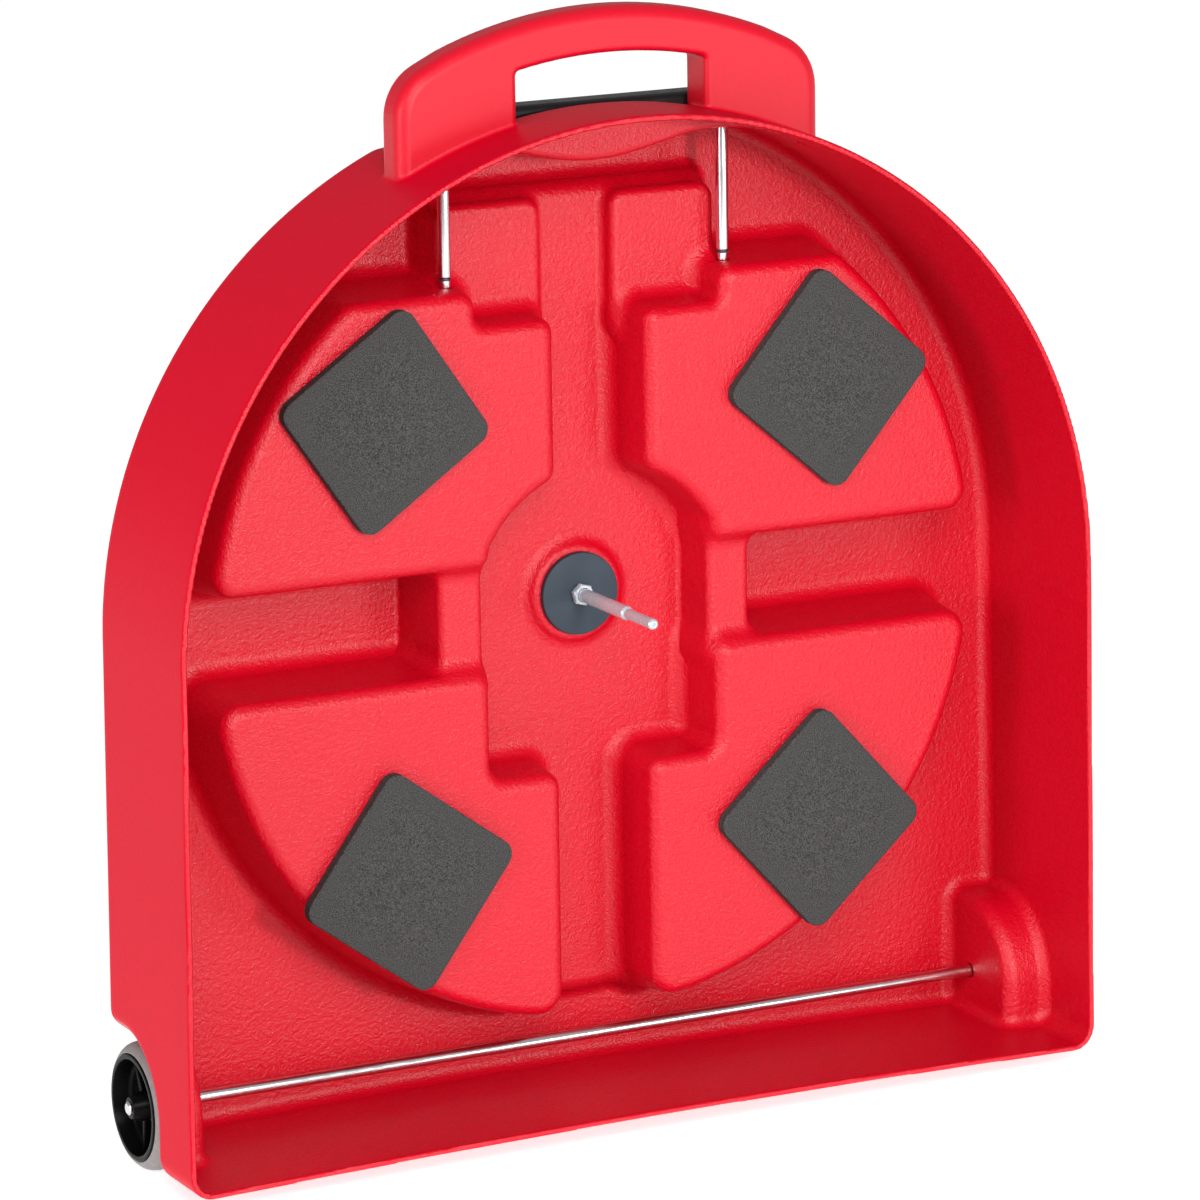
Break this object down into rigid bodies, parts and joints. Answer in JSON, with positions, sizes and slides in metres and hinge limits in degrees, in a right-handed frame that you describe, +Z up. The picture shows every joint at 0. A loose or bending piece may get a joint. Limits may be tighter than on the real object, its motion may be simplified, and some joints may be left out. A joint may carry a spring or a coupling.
{
  "type": "wheeled cymbal case base",
  "caption": "Open moulded base half of a wheeled case for round cymbals, with raised pad blocks, a central threaded spindle, a carry handle, a sliding pull handle and wheels on an axle.",
  "frame": {"origin": "on the floor that the wheels touch, below the middle of the object's box", "axes": "+X to the right, +Y from the open front to the back, +Z up towards the carry handle"},
  "size_m": [0.652, 0.146, 0.722],
  "materials": {
    "red_plastic": "moulded polyethylene with a fine leathery grain, satin",
    "black_plastic": "moulded, semi-gloss",
    "grey_tyre": "grey wheel rubber, matte",
    "dark_rubber": "dark grey rubber, satin",
    "foam": "closed-cell foam, matte, fine cells",
    "chrome": "bright plated steel",
    "steel": "zinc plated, satin"
  },
  "bodies": {
    "case": {"shell": "red_plastic", "axle": "chrome", "axle_spacer_left": "black_plastic", "axle_spacer_right": "black_plastic", "axle_cap_left": "steel", "axle_cap_right": "steel", "guide_tube_left": "chrome", "guide_tube_right": "chrome", "tube_ring_left": "dark_rubber", "tube_ring_right": "dark_rubber", "top_bush_left": "black_plastic", "top_bush_right": "black_plastic", "spindle": "chrome", "spindle_nut": "chrome", "cymbal_disc": "dark_rubber", "backing_washer": "steel", "backing_nut": "steel", "foam_pad_top_left": "foam", "foam_pad_top_right": "foam", "foam_pad_bottom_left": "foam", "foam_pad_bottom_right": "foam"},
    "wheel_left": {"wheel_hub_left": "black_plastic", "wheel_tyre_left": "grey_tyre"},
    "wheel_right": {"wheel_hub_right": "black_plastic", "wheel_tyre_right": "grey_tyre"},
    "pull_handle": {"pull_grip": "black_plastic", "pull_rod_left": "chrome", "pull_rod_right": "chrome", "rod_stop_left": "black_plastic", "rod_stop_right": "black_plastic", "grip_screw_left": "steel", "grip_screw_right": "steel"}
  },
  "joints": [
    {"name": "wheel_left_spin", "type": "hinge", "parent": "case", "child": "wheel_left", "pos_m": [-0.309, 0.0315, 0.0415], "axis": [1, 0, 0], "continuous": true},
    {"name": "wheel_right_spin", "type": "hinge", "parent": "case", "child": "wheel_right", "pos_m": [0.309, 0.0315, 0.0415], "axis": [1, 0, 0], "continuous": true},
    {"name": "handle_slide", "type": "slide", "parent": "case", "child": "pull_handle", "axis": [0, 0, 1], "range_m": [0, 0.325]}
  ]
}
